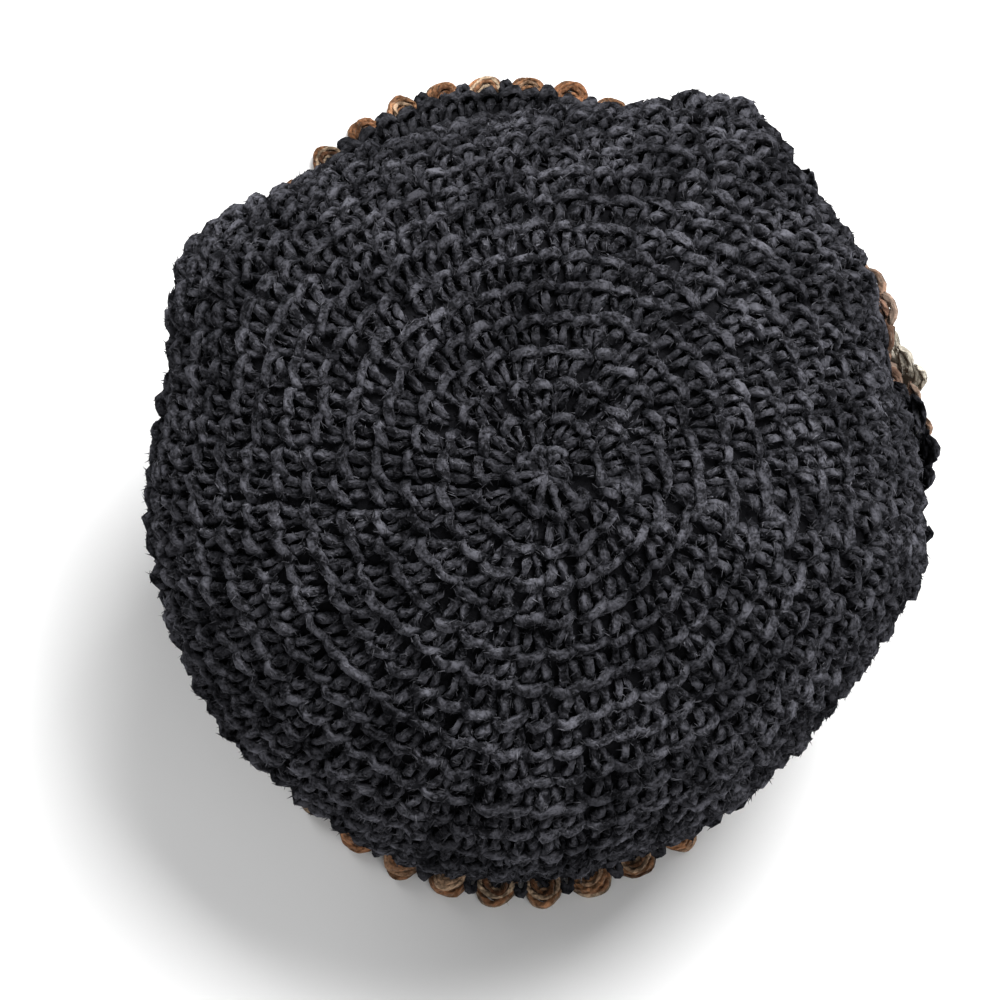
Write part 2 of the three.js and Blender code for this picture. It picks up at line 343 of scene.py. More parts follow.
def brim_face():
    """The brim's outer face."""
    rows = smooth_rows(brim_rows(GRID_ANGLES), 16)
    shares = np.linspace(0, 1, BRIM_STITCH_ROUNDS * GRID_ROWS + 1)
    return Face(spread_rows(rows, shares), BRIM_STITCH_ROUNDS)


CROWN = crown_face()
BRIM = brim_face()


# Meshes.

def to_frame(points):
    """Millimetres from the hat's own middle to metres in the frame."""
    return np.asarray(points) * MM + SHIFT


def placed(name, data):
    """A new object in the scene."""
    thing = bpy.data.objects.new(name, data)
    bpy.context.scene.collection.objects.link(thing)
    return thing


def new_object(name, vertices, faces, uvs=None):
    """A mesh object with smooth faces and, where given, one UV pair for each face corner."""
    mesh = bpy.data.meshes.new(name)
    mesh.from_pydata([tuple(v) for v in vertices], [], faces, shade_flat=False)
    if uvs is not None:
        layer = mesh.uv_layers.new(name="yarn")
        layer.data.foreach_set("uv", np.asarray(uvs, np.float32).ravel())
    mesh.validate()
    mesh.update()
    return placed(name, mesh)


def sheet_faces(rows, columns, closed):
    """The faces between rows of points that go all the way round, and from the last row back to
    the first where the sheet is closed."""
    faces = []
    for i in range(rows if closed else rows - 1):
        a, b = i * columns, (i + 1) % rows * columns
        for j in range(columns):
            n = (j + 1) % columns
            faces.append((a + j, a + n, b + n, b + j))
    return faces


def path_frames(points):
    """For each point of a path, two directions across it, which turn as little as possible."""
    along = unit(np.gradient(points, axis=0))
    side = np.cross(along[0], [0.3, 0.5, 0.8])
    sides = []
    for direction in along:
        side = square_to(direction, side)
        sides.append(side)
    sides = np.array(sides)
    return sides, np.cross(along, sides)


class Yarn:
    """Collects lengths of yarn, each a closed tube, into one mesh."""

    def __init__(self):
        self.vertices = []
        self.faces = []
        self.uvs = []
        self.heights = []
        self.shades = []

    def strand(self, controls, radius, steps, sides=5, shade=0.0):
        """A tube through control points, thinner at its two ends."""
        points = smooth_rows(np.asarray(controls, float)[:, None, :], steps)[:, 0, :]
        one, two = path_frames(points)
        length = np.concatenate([[0], np.cumsum(np.linalg.norm(np.diff(points, axis=0), axis=1))])
        last = len(points) - 1
        start = len(self.vertices)
        for i, point in enumerate(points):
            thin = YARN_END if i in (0, last) else 1
            for k in range(sides):
                turn = 2 * math.pi * k / sides
                out = one[i] * math.cos(turn) + two[i] * math.sin(turn)
                self.vertices.append(point + out * radius * thin)
                self.heights.append(self.vertices[-1][2])
                self.shades.append(shade)
        for i in range(last):
            for k in range(sides):
                n = (k + 1) % sides
                a, b = start + i * sides, start + (i + 1) * sides
                self.faces.append((a + k, a + n, b + n, b + k))
                u0, u1 = k / sides, (k + 1) / sides
                v0, v1 = length[i:i + 2] / (PLY_SPACING * radius)
                self.uvs += [(u0, v0), (u1, v0), (u1, v1), (u0, v1)]
        self.faces.append(tuple(start + k for k in reversed(range(sides))))
        self.faces.append(tuple(start + last * sides + k for k in range(sides)))
        self.uvs += [(0, 0)] * (2 * sides)

    def make(self, name, shift=(0, 0, 0), height=None):
        """The yarn as an object. For its material, each vertex has its height over the fabric,
        or one height where that is given, by which low strands get painted shade, and the shade of its
        strand, a random tone of its dye."""
        piece = new_object(name, np.array(self.vertices) * MM + shift, self.faces, self.uvs)
        heights = self.heights if height is None else [height] * len(self.vertices)
        for label, values in (("height", heights), ("shade", self.shades)):
            layer = piece.data.attributes.new(label, "FLOAT", "POINT")
            layer.data.foreach_set("value", values)
        return piece


def shaken(controls, draw, amount):
    """Control points, each moved a little."""
    return [[c + draw.uniform(-amount, amount) for c in point] for point in controls]


def stitch_shape(name, seed):
    """One crochet stitch: two legs that rise from one hole, under the two strands of its top."""
    draw = random.Random(seed)
    yarn = Yarn()
    front = [(-5.3, 2.0, -0.6), (-2.4, 3.7, 2.2), (1.7, 4.5, 2.7), (5.3, 3.4, -0.2)]
    behind = [(-5.0, 4.8, -1.8), (-1.2, 5.8, 0.7), (2.6, 5.5, 0.7), (5.0, 4.5, -1.6)]
    left = [(-1.4, -4.8, -2.4), (-2.2, -2.4, 0.9), (-2.7, 0.5, 1.5), (-2.6, 3.0, 0.0)]
    right = [(0.2, -4.8, -2.4), (0.3, -2.4, 1.2), (1.2, 0.7, 1.7), (2.5, 3.4, 0.1)]
    for path, thick, steps in ((front, 1.25, 2), (behind, 0.9, 1), (left, 1.05, 2), (right, 1.05, 2)):
        radius = YARN_RADIUS * thick * draw.uniform(0.9, 1.1)
        yarn.strand(shaken(path, draw, 0.5), radius, steps, sides=4)
    return yarn.make(name)


def inner_stitch_shape(name, seed):
    """The back of a stitch, as the inside shows it: two bars that cross, in fewer faces."""
    draw = random.Random(seed)
    yarn = Yarn()
    bar = [(-5.2, 1.6, -0.8), (0.0, 3.4, 1.5), (5.2, 1.6, -0.8)]
    post = [(-2.2, -5.8, -0.8), (-0.6, -1.4, 1.3), (1.4, 3.6, -0.4)]
    yarn.strand(shaken(bar, draw, 0.4), YARN_RADIUS, 2, sides=4)
    yarn.strand(shaken(post, draw, 0.4), YARN_RADIUS, 1, sides=4)
    return yarn.make(name)


def first_stitch_shape(name, seed):
    """A stitch of the first round: one fat post that fans out of the tip, and its top."""
    draw = random.Random(seed)
    yarn = Yarn()
    post = [(0.0, -4.6, -0.6), (-0.5, -1.6, 1.4), (0.2, 1.8, 1.8), (0.4, 4.2, -0.4)]
    front = [(-5.2, 2.8, -0.8), (-2.3, 4.2, 1.7), (1.8, 4.4, 2.2), (5.3, 2.9, -0.6)]
    for path, thick in ((post, 1.5), (front, 1.2)):
        yarn.strand(shaken(path, draw, 0.35), YARN_RADIUS * thick, 3)
    return yarn.make(name)


# Node trees that set stitches and fibres.

def add(tree, kind, props=None, inputs=None):
    """A node with its properties and its inputs set; an input may be a value or another socket."""
    node = tree.nodes.new(kind)
    for key, value in (props or {}).items():
        setattr(node, key, value)
    for key, value in (inputs or {}).items():
        socket = node.inputs[key]
        if isinstance(value, bpy.types.NodeSocket):
            tree.links.new(value, socket)
        else:
            socket.default_value = value
    return node


def new_tree(name, sockets):
    """A geometry tree with a geometry input, named inputs and a geometry output."""
    tree = bpy.data.node_groups.new(name, "GeometryNodeTree")
    tree.interface.new_socket("Geometry", in_out="INPUT", socket_type="NodeSocketGeometry")
    for label, kind in sockets:
        tree.interface.new_socket(label, in_out="INPUT", socket_type="NodeSocket" + kind)
    tree.interface.new_socket("Geometry", in_out="OUTPUT", socket_type="NodeSocketGeometry")
    return tree, tree.nodes.new("NodeGroupInput").outputs


def named_vector(tree, name):
    node = add(tree, "GeometryNodeInputNamedAttribute", {"data_type": "FLOAT_VECTOR"}, {"Name": name})
    return node.outputs["Attribute"]


def random_vector(tree, low, high, seed):
    """A random vector for each point, between two corners."""
    node = add(tree, "FunctionNodeRandomValue", {"data_type": "FLOAT_VECTOR"}, {
        0: low, 1: high, "Seed": seed,
    })
    return node.outputs["Value"]


def vector_math(tree, operation, first, second):
    node = add(tree, "ShaderNodeVectorMath", {"operation": operation}, {0: first, 1: second})
    return node.outputs["Vector"]


def noise_offset(tree, scale, amount):
    """A smooth random offset that is up to about half the amount long."""
    noise_node = add(tree, "ShaderNodeTexNoise", None, {
        "Scale": scale, "Detail": 2.0, "Roughness": 0.6,
    })
    centred = vector_math(tree, "SUBTRACT", noise_node.outputs["Color"], (0.5, 0.5, 0.5))
    scaled = add(tree, "ShaderNodeVectorMath", {"operation": "SCALE"}, {0: centred, "Scale": amount})
    return scaled.outputs["Vector"]


def turned_by_chance(tree, rotation, least, most, seed):
    """A rotation after a random turn in its own frame."""
    turn = random_vector(tree, least, most, seed)
    euler = add(tree, "FunctionNodeEulerToRotation", None, {"Euler": turn})
    turned = add(tree, "FunctionNodeRotateRotation", {"rotation_space": "LOCAL"}, {
        "Rotation": rotation,
        "Rotate By": euler.outputs["Rotation"],
    })
    return turned.outputs["Rotation"]


def end_tree(tree, seed, instances, offset=None):
    """Ends a tree: it gives each instance a random tone from 0 to 1, by which its material picks a
    colour, makes one mesh of them and moves its points."""
    tone = add(tree, "FunctionNodeRandomValue", None, {"Seed": seed})
    toned = add(tree, "GeometryNodeStoreNamedAttribute", {"data_type": "FLOAT", "domain": "INSTANCE"}, {
        "Geometry": instances,
        "Name": "tone",
        "Value": tone.outputs[1],
    })
    made = add(tree, "GeometryNodeRealizeInstances", None, {"Geometry": toned.outputs["Geometry"]})
    if offset is not None:
        made = add(tree, "GeometryNodeSetPosition", None, {
            "Geometry": made.outputs["Geometry"],
            "Offset": offset,
        })
    add(tree, "NodeGroupOutput", None, {"Geometry": made.outputs["Geometry"]})


def stitch_tree():
    """Sets one of the variants of a stitch on each point, in the point's own frame. Chance turns
    and sizes each a little, and then the yarn's way wanders and its thickness varies."""
    tree, given = new_tree("Stitches", [
        *(("Shape " + variant, "Object") for variant in VARIANTS),
        ("Turn", "Vector"), ("Size Spread", "Vector"), ("Wander", "Float"), ("Wander Scale", "Float"),
        ("Lumps", "Float"), ("Lump Scale", "Float"), ("Seed", "Int"),
    ])
    seed = given["Seed"]
    shapes = tree.nodes.new("GeometryNodeJoinGeometry")
    for variant in VARIANTS:
        shape = given["Shape " + variant]
        info = add(tree, "GeometryNodeObjectInfo", None, {"Object": shape, "As Instance": True})
        tree.links.new(info.outputs["Geometry"], shapes.inputs[0])
    pick = add(tree, "FunctionNodeRandomValue", {"data_type": "INT"}, {
        4: 0, 5: len(VARIANTS) - 1, "Seed": seed,
    })
    frame_of_point = add(
        tree, "FunctionNodeAxesToRotation", {"primary_axis": "Z", "secondary_axis": "X"},
        {"Primary Axis": named_vector(tree, "out"), "Secondary Axis": named_vector(tree, "across")},
    )
    turn_back = vector_math(tree, "MULTIPLY", given["Turn"], (-1, -1, -1))
    least = vector_math(tree, "SUBTRACT", (1, 1, 1), given["Size Spread"])
    most = vector_math(tree, "ADD", (1, 1, 1), given["Size Spread"])
    growth = random_vector(tree, least, most, seed)
    copies = add(tree, "GeometryNodeInstanceOnPoints", None, {
        "Points": given["Geometry"],
        "Instance": shapes.outputs[0],
        "Pick Instance": True,
        "Instance Index": pick.outputs[2],
        "Rotation": turned_by_chance(
            tree, frame_of_point.outputs["Rotation"], turn_back, given["Turn"], seed),
        "Scale": vector_math(tree, "MULTIPLY", named_vector(tree, "size"), growth),
    })
    wander = noise_offset(tree, given["Wander Scale"], given["Wander"])
    lumps = noise_offset(tree, given["Lump Scale"], given["Lumps"])
    offset = vector_math(tree, "ADD", wander, lumps)
    end_tree(tree, seed, copies.outputs["Instances"], offset)
    return tree


def fuzz_tree():
    """Sets loose fibres on the yarn, each a thin three-sided spike that leans some way over."""
    tree, given = new_tree("Fuzz", [
        ("Density", "Float"), ("Length", "Float"), ("Thickness", "Float"),
        ("Least Turn", "Vector"), ("Most Turn", "Vector"), ("Least Height", "Float"),
        ("Seed", "Int"),
    ])
    seed = given["Seed"]
    height = add(tree, "GeometryNodeInputNamedAttribute", {"data_type": "FLOAT"}, {"Name": "height"})
    raised = add(tree, "FunctionNodeCompare", {"operation": "GREATER_THAN"}, {
        0: height.outputs["Attribute"],
        1: given["Least Height"],
    })
    spots = add(tree, "GeometryNodeDistributePointsOnFaces", {"distribute_method": "RANDOM"}, {
        "Mesh": given["Geometry"],
        "Selection": raised.outputs["Result"],
        "Density": given["Density"],
        "Seed": seed,
    })
    fibre = add(tree, "GeometryNodeMeshCone", {"fill_type": "NGON"}, {
        "Vertices": 3, "Side Segments": 1, "Fill Segments": 1, "Radius Top": 0.0,
        "Radius Bottom": given["Thickness"], "Depth": given["Length"],
    })
    copies = add(tree, "GeometryNodeInstanceOnPoints", None, {
        "Points": spots.outputs["Points"],
        "Instance": fibre.outputs["Mesh"],
        "Rotation": turned_by_chance(
            tree, spots.outputs["Rotation"], given["Least Turn"], given["Most Turn"], seed),
        "Scale": random_vector(tree, (0.7, 0.7, 0.35), (1.2, 1.2, 1.3), seed),
    })
    end_tree(tree, seed, copies.outputs["Instances"])
    return tree


def run_tree(name, source, tree, **inputs):
    """Runs a tree on an object and returns the plain mesh that it makes as a new object."""
    modifier = source.modifiers.new(tree.name, "NODES")
    modifier.node_group = tree
    for item in tree.interface.items_tree:
        label = item.name.replace(" ", "_").lower()
        if item.in_out == "INPUT" and label in inputs:
            modifier[item.identifier] = inputs[label]
    graph = bpy.context.evaluated_depsgraph_get()
    mesh = bpy.data.meshes.new_from_object(source.evaluated_get(graph), depsgraph=graph)
    source.modifiers.remove(modifier)
    mesh.name = name
    return placed(name, mesh)


def point_cloud(name, points, out, across, size):
    """Loose vertices that carry the frame and the size of the stitch that each is to hold."""
    cloud = new_object(name, to_frame(points), [])
    for label, values in (("out", out), ("across", across), ("size", size)):
        layer = cloud.data.attributes.new(label, "FLOAT_VECTOR", "POINT")
        layer.data.foreach_set("vector", np.asarray(values, np.float32).ravel())
    return cloud


def drop(*pieces):
    """Takes objects that were only needed to make others out of the scene."""
    for piece in pieces:
        bpy.data.objects.remove(piece)


# Materials.

def ramp(tree, factor, stops):
    """A colour ramp with the given (position, colour) stops."""
    node = add(tree, "ShaderNodeValToRGB", None, {"Fac": factor})
    elements = node.color_ramp.elements
    for i, (position, colour) in enumerate(stops):
        element = elements[i] if i < 2 else elements.new(position)
        element.position = position
        element.color = (*colour, 1)
    return node.outputs["Color"]


def multiply(tree, first, second):
    both = add(tree, "ShaderNodeMix", {"data_type": "RGBA", "blend_type": "MULTIPLY"}, {
        0: 1.0, 6: first, 7: second,
    })
    return both.outputs[2]


def calculate(tree, operation, *values):
    """A number worked out from numbers, each a plain value or a socket."""
    return add(tree, "ShaderNodeMath", {"operation": operation}, dict(enumerate(values))).outputs[0]


def attribute(tree, name):
    """A number that the mesh carries."""
    return add(tree, "ShaderNodeAttribute", {"attribute_name": name}).outputs["Fac"]


def noise(tree, place, scale, detail, roughness=0.5):
    node = add(tree, "ShaderNodeTexNoise", None, {
        "Vector": place, "Scale": scale, "Detail": detail, "Roughness": roughness,
    })
    return node.outputs["Fac"]


def bump(tree, strength, distance, height):
    return add(tree, "ShaderNodeBump", None, {
        "Strength": strength, "Distance": distance, "Height": height,
    })


def wool_material(name, wool):
    """Fuzzy wool yarn: plies twist round each strand, its shade is mottled, and sunk strands, low in
    the fabric, are darkened by painted shade. With dyes, each stitch or fibre takes its own colour from
    them."""
    material = bpy.data.materials.new(name)
    material.use_nodes = True
    tree = material.node_tree
    shader = tree.nodes["Principled BSDF"]
    place = add(tree, "ShaderNodeTexCoord").outputs["Object"]
    clumps = noise(tree, place, 270.0, 3.0, 0.55)
    lint = noise(tree, place, 1100.0, 1.0)
    mottle = add(tree, "ShaderNodeMix", {"data_type": "FLOAT"}, {0: LINT_SHARE, 2: clumps, 3: lint})
    colour = ramp(tree, mottle.outputs[0], [(0.42, wool.dark), (0.6, wool.light)])
    wear = noise(tree, place, 60.0, 3.0)
    worn = ramp(tree, wear, [(0.37, (0.58, 0.58, 0.58)), (0.63, (1.36, 1.36, 1.36))])
    colour = multiply(tree, colour, worn)
    if wool.dyes:
        both = calculate(tree, "ADD", attribute(tree, "tone"), attribute(tree, "shade"))
        stops = [(i / (len(wool.dyes) - 1), dye) for i, dye in enumerate(wool.dyes)]
        ends_first = [stops[0], stops[-1], *stops[1:-1]]
        colour = multiply(tree, colour, ramp(tree, calculate(tree, "FRACT", both), ends_first))
    # Painted shade: strands low over the fabric are darkened, as if shaded by the strands over them.
    if wool.sunk is not None:
        rise = add(tree, "ShaderNodeMapRange", None, {
            "Value": attribute(tree, "height"), "From Min": 0.0, "From Max": 3.4,
            "To Min": wool.sunk, "To Max": 1.0,
        })
        colour = multiply(tree, colour, rise.outputs["Result"])
    tree.links.new(colour, shader.inputs["Base Color"])
    settings = {
        "Roughness": 0.95, "Specular IOR Level": 0.0,
        "Sheen Weight": wool.sheen, "Sheen Roughness": 0.5, "Sheen Tint": (*wool.tint, 1),
    }
    for label, value in settings.items():
        shader.inputs[label].default_value = value
    felt = bump(tree, 1.0, 0.0012, mottle.outputs[0])
    tree.links.new(felt.outputs["Normal"], shader.inputs["Normal"])
    if wool.plies:
        tree.links.new(ply_normal(tree), felt.inputs["Normal"])
    return material


def ply_normal(tree):
    """The plies that wind round a strand, as a bumped normal."""
    yarn = add(tree, "ShaderNodeUVMap", {"uv_map": "yarn"})
    parts = add(tree, "ShaderNodeSeparateXYZ", None, {"Vector": yarn.outputs["UV"]})
    twist = calculate(tree, "MULTIPLY_ADD", parts.outputs["X"], 2.0, parts.outputs["Y"])
    turn = calculate(tree, "MULTIPLY", twist, 2 * math.pi)
    return bump(tree, 0.6, 0.0006, calculate(tree, "SINE", turn)).outputs["Normal"]


BLUE_GREY = (0.75, 0.8, 0.95)
WARM = (1.0, 0.85, 0.7)
BROWN_DYES = [
    (0.1, 0.045, 0.024), (0.3, 0.14, 0.07), (0.4, 0.21, 0.11), (0.26, 0.115, 0.055),
    (0.6, 0.45, 0.31), (0.34, 0.17, 0.09), (0.16, 0.075, 0.04),
]
TAN_DYES = [(0.22, 0.12, 0.085), (0.38, 0.24, 0.17), (0.3, 0.18, 0.13), (0.45, 0.33, 0.26)]
FIBRE_TONES = [(0.3, 0.3, 0.3), (0.5, 0.5, 0.5), (0.7, 0.7, 0.7), (0.95, 0.95, 0.95)]
BLACK, CHARCOAL = (0.01, 0.01, 0.0115), (0.087, 0.087, 0.101)

# Each wool has its slot, its darkest and its lightest shade, the tint and the strength of its
# sheen, its dyes, the painted shade of its sunk strands as a share, and plies that show or don't.
Wool = namedtuple("Wool", "slot dark light tint sheen dyes sunk plies", defaults=(None, None, True))
WOOLS = {
    "black_wool": Wool("black_wool", BLACK, CHARCOAL, BLUE_GREY, 0.02, sunk=0.2),
    # A darker copy of the black wool: painted shade, for the crown's shadow over the brim.
    "brim_wool": Wool("black_wool", BLACK, (0.055, 0.055, 0.063), BLUE_GREY, 0.02, sunk=0.2),
    # Near-black, darker than the black wool's own darkest: painted shade for the gaps between stitches.
    "black_core": Wool("black_wool", BLACK, (0.006, 0.006, 0.007), BLUE_GREY, 0.0, plies=False),
    "black_fuzz": Wool("black_wool", (0.05, 0.05, 0.056), (0.12, 0.12, 0.135), BLUE_GREY, 0.0,
                       FIBRE_TONES, plies=False),
    "brown_wool": Wool("brown_wool", (0.4, 0.4, 0.4), (1.3, 1.3, 1.3), WARM, 0.15, BROWN_DYES, 0.3),
    "brown_fuzz": Wool("brown_wool", (0.2, 0.11, 0.06), (0.42, 0.28, 0.18), WARM, 0.2, plies=False),
    "grey_fuzz": Wool("black_wool", (0.06, 0.06, 0.06), (0.24, 0.23, 0.22), WARM, 0.0, plies=False),
    "tan_fuzz": Wool("tan_wool", (0.3, 0.19, 0.13), (0.6, 0.45, 0.36), WARM, 0.1, plies=False),
    "cream_fuzz": Wool("cream_wool", (0.45, 0.42, 0.36), (0.75, 0.72, 0.66), WARM, 0.1, plies=False),
    "tan_wool": Wool("tan_wool", (0.5, 0.5, 0.5), (1.2, 1.2, 1.2), WARM, 0.15, TAN_DYES, 0.4),
    "cream_wool": Wool("cream_wool", (0.3, 0.27, 0.22), (0.66, 0.61, 0.52), WARM, 0.15),
}
MATERIALS = {name: wool_material(name, wool) for name, wool in WOOLS.items()}


def finish_piece(piece, material, *nodes):
    """Paints a piece, lets it ride with the hat, and hides the solids that it stands
    for."""
    piece.data.materials.clear()
    piece.data.materials.append(MATERIALS[material])
    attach(piece, BODY)
    if nodes:
        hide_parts(*nodes)
    return piece


# The crocheted fabric.

def stitches_in_round(k):
    """Stitches of a round of the crown, counted from 0 at its middle."""
    if k == 0:
        return FIRST_ROUND_STITCHES
    if k < TOP_ROUNDS:
        return STITCHES_BEFORE_INCREASES + INCREASES_A_ROUND * k
    most = STITCHES_BEFORE_INCREASES + INCREASES_A_ROUND * (TOP_ROUNDS - 1)
    down = (k - TOP_ROUNDS + 1) / SIDE_ROUNDS
    return round(most + (OPENING_STITCHES - most) * down)


def stitch_round(face, k, count, height, inside, phase, spiral):
    """The frames of one round of stitches: places, outward and sideways directions, and sizes."""
    angles = (np.arange(count) + phase) * 360 / count
    start = np.full(count, float(k))
    if spiral:
        level = min(1, (face.rounds - 1 - k) / SPIRAL_LEVELS_OVER)
        start += ((SPIRAL_START - angles) / 360 % 1 - 0.5) * level
    end = start + 1
    if k == 0 and spiral:
        start[:] = 0
    places, out, down = face.at((start + end) / 2, angles, height)
    upper, _, _ = face.at(start, angles, height)
    lower, _, _ = face.at(end, angles, height)
    tall = np.linalg.norm(lower - upper, axis=1)
    wide = np.linalg.norm(np.roll(places, -1, axis=0) - places, axis=1)
    if inside:
        out = -out
    across = np.cross(down, out)
    size = np.stack([wide / STITCH_WIDTH, tall / STITCH_HEIGHT, np.ones(count)], axis=1)
    size[:, 0] = size[:, 0].clip(LEAST_WIDTH)
    strays = np.random.default_rng(STRAY_SEED + k).uniform(-1, 1, (count, 3)) * STRAY
    places = places + across * strays[:, :1] + down * strays[:, 1:2] + out * strays[:, 2:]
    return places, out, across, size


def stitch_rounds(name, face, rounds, counts, height, inside=False):
    """A cloud of the points of several rounds. Each round starts a little after the last."""
    spiral = face is CROWN
    parts = [
        stitch_round(face, k, count, height, inside, ROUND_STARTS_LATER * k, spiral)
        for k, count in zip(rounds, counts)
    ]
    return point_cloud(name, *(np.concatenate(values) for values in zip(*parts)))


def fabric_wall(node, face, closed_top):
    """The thin layer between the outside's stitches and the inside's, as a closed wall, painted
    near-black as the shade that shows in the gaps between stitches.
    """
    down = np.arange(0, 2 * face.rounds + 1) / 2
    rounds, angles = np.meshgrid(down, np.arange(0, 360, 3), indexing="ij")
    outside, _, _ = face.at(rounds, angles, -CORE_OUTER_DEPTH)
    inside, _, _ = face.at(rounds, angles, -CORE_INNER_DEPTH)
    rows = np.concatenate([outside, inside[::-1]])
    faces = sheet_faces(*rows.shape[:2], closed=not closed_top)
    wall = new_object(node + "_wall", to_frame(rows.reshape(-1, 3)), faces)
    weld_close_points(wall)
    finish_piece(wall, "black_core", node)


def weld_close_points(piece):
    """Merges points that lie on each other, as at the middle of a crown's rounds."""
    work = bmesh.new()
    work.from_mesh(piece.data)
    bmesh.ops.remove_doubles(work, verts=work.verts, dist=1e-6)
    work.to_mesh(piece.data)
    work.free()
    piece.data.update()


def variants(shape, name, seed):
    """The variants of a kind of stitch, each drawn from its own seed."""
    return [shape(name + "_" + variant, seed + i) for i, variant in enumerate(VARIANTS)]


STITCHES = stitch_tree()
FUZZ = fuzz_tree()
SHAPES = variants(stitch_shape, "stitch", 11)
INNER_SHAPES = variants(inner_stitch_shape, "back", 21)
FIRST_SHAPES = variants(first_stitch_shape, "post", 31)


def set_stitches(name, cloud, material, seed, shapes=SHAPES, *nodes, turn=0.24, spread=0.12,
                 wander=WANDER, lumps=LUMPS):
    """Sets yarn stitches on a cloud of points and takes the cloud away. The stitches may stand for
    some of the solids."""
    piece = run_tree(
        name, cloud, STITCHES,
        **{"shape_" + variant: shape for variant, shape in zip(VARIANTS, shapes)},
        turn=(turn / 3, turn / 3, turn), size_spread=(spread, spread, spread),
        wander=wander * MM, wander_scale=WANDER_SCALE, lumps=lumps * MM, lump_scale=LUMP_SCALE,
        seed=seed,
    )
    drop(cloud)
    return finish_piece(piece, material, *nodes)


def crown_pieces():
    """The crown: its middle layer, painted near-black as shade, and the stitches of its top, its side
    and its inside.
    """
    fabric_wall("crown", CROWN, True)
    rounds = range(TOP_ROUNDS + SIDE_ROUNDS)
    counts = [stitches_in_round(k) for k in rounds]
    first, top, side = slice(0, 1), slice(1, TOP_ROUNDS), slice(TOP_ROUNDS, None)
    clouds = [
        stitch_rounds(name + "_points", CROWN, rounds[part], counts[part], -STITCH_DEPTH)
        for name, part in (("first", first), ("top", top), ("side", side))
    ]
    inner = stitch_rounds("inner_points", CROWN, rounds, counts, -INNER_STITCH_DEPTH, True)
    return [
        set_stitches(
            "crown_first_round", clouds[0], "black_wool", 3, FIRST_SHAPES,
            turn=0.1, spread=0.08, wander=1.2),
        set_stitches("crown_top_stitches", clouds[1], "black_wool", 5),
        set_stitches("crown_side_stitches", clouds[2], "black_wool", 7),
        set_stitches("crown_inside", inner, "black_wool", 8, INNER_SHAPES),
    ]


def brim_pieces():
    """The brim: its middle layer, painted near-black as shade, and the stitches of its two sides, in a
    darker copy of the black wool that paints the crown's shadow on the brim.
    """
    fabric_wall("brim", BRIM, False)
    more = (RIM_STITCHES - OPENING_STITCHES) / BRIM_STITCH_ROUNDS
    rounds = range(BRIM_STITCH_ROUNDS)
    counts = [round(OPENING_STITCHES + more * (k + 1)) for k in rounds]
    outer = stitch_rounds("brim_points", BRIM, rounds, counts, -STITCH_DEPTH)
    inner = stitch_rounds("brim_inner_points", BRIM, rounds, counts, -INNER_STITCH_DEPTH, True)
    return [
        set_stitches("brim_stitches", outer, "brim_wool", 9),
        set_stitches("brim_inside", inner, "brim_wool", 10, INNER_SHAPES),
    ]


# The shell edging.

def shell_shape(name, seed):
    """One shell: a fat arch of strands that lie over each other, bent over the brim's edge."""
    draw = random.Random(seed)
    yarn = Yarn()
    shares_and_heights = [(1.0, 1.5), (0.95, 2.9), (0.8, 3.9), (0.6, 4.0), (0.45, 2.8), (0.74, 1.8)]
    for share, height in shares_and_heights:
        phase = draw.uniform(0, 2 * math.pi)
        arch = []
        for i in range(7):
            turn = math.radians(SHELL_TURN_FROM + SHELL_TURN_STEP * i)
            near = share + 0.07 * math.sin(phase + 1.7 * i)
            high = height + 0.45 * math.cos(phase + 1.7 * i) - 0.8 * (abs(i - 3) / 3) ** 2
            side = SHELL_HALF_WIDTH * near * math.sin(turn)
            arch.append((side, SHELL_TALL * near * math.cos(turn), high))
        yarn.strand(shaken(arch, draw, 0.15), draw.uniform(0.8, 1.05), 3, shade=draw.random())
    return yarn.make(name)


def knot_shape(name, seed):
    """The black stitches that show between two shells."""
    draw = random.Random(seed)
    yarn = Yarn()
    left = [(-2.6, -2.6, 1.2), (-2.1, 1.0, 3.9), (-0.6, 3.8, 3.6), (0.6, 2.6, 1.2)]
    right = [(2.6, -2.6, 1.2), (2.2, 0.8, 3.7), (0.8, 3.4, 4.2), (-0.8, 3.0, 1.6)]
    over = [(-9.0, -2.2, 3.0), (-3.0, -1.0, 4.4), (3.0, -0.8, 4.6), (9.0, -2.2, 3.0)]
    for path in (left, right, over):
        yarn.strand(shaken(path, draw, 0.3), draw.uniform(1.2, 1.45), 3)
    return yarn.make(name)


def rim_cloud(name, angles, out, height, size):
    """Points all round the rim, so far beyond its edge and so high, for upright shapes."""
    aside, back = facing(angles)
    flat = np.zeros_like(aside)
    swung = aside * RIM_HALF_WIDTH + RIM_SWING * (1 + back) / 2
    edge = np.stack([swung, back * RIM_HALF_LENGTH, flat], axis=-1)
    outward = unit(np.stack([aside / RIM_HALF_WIDTH, back / RIM_HALF_LENGTH, flat], axis=-1))
    up = np.tile([0.0, 0.0, 1.0], (len(angles), 1))
    places = edge + outward * out + up * height
    sizes = np.tile(size, (len(angles), 1))
    return point_cloud(name, places, up, np.cross(outward, up), sizes)


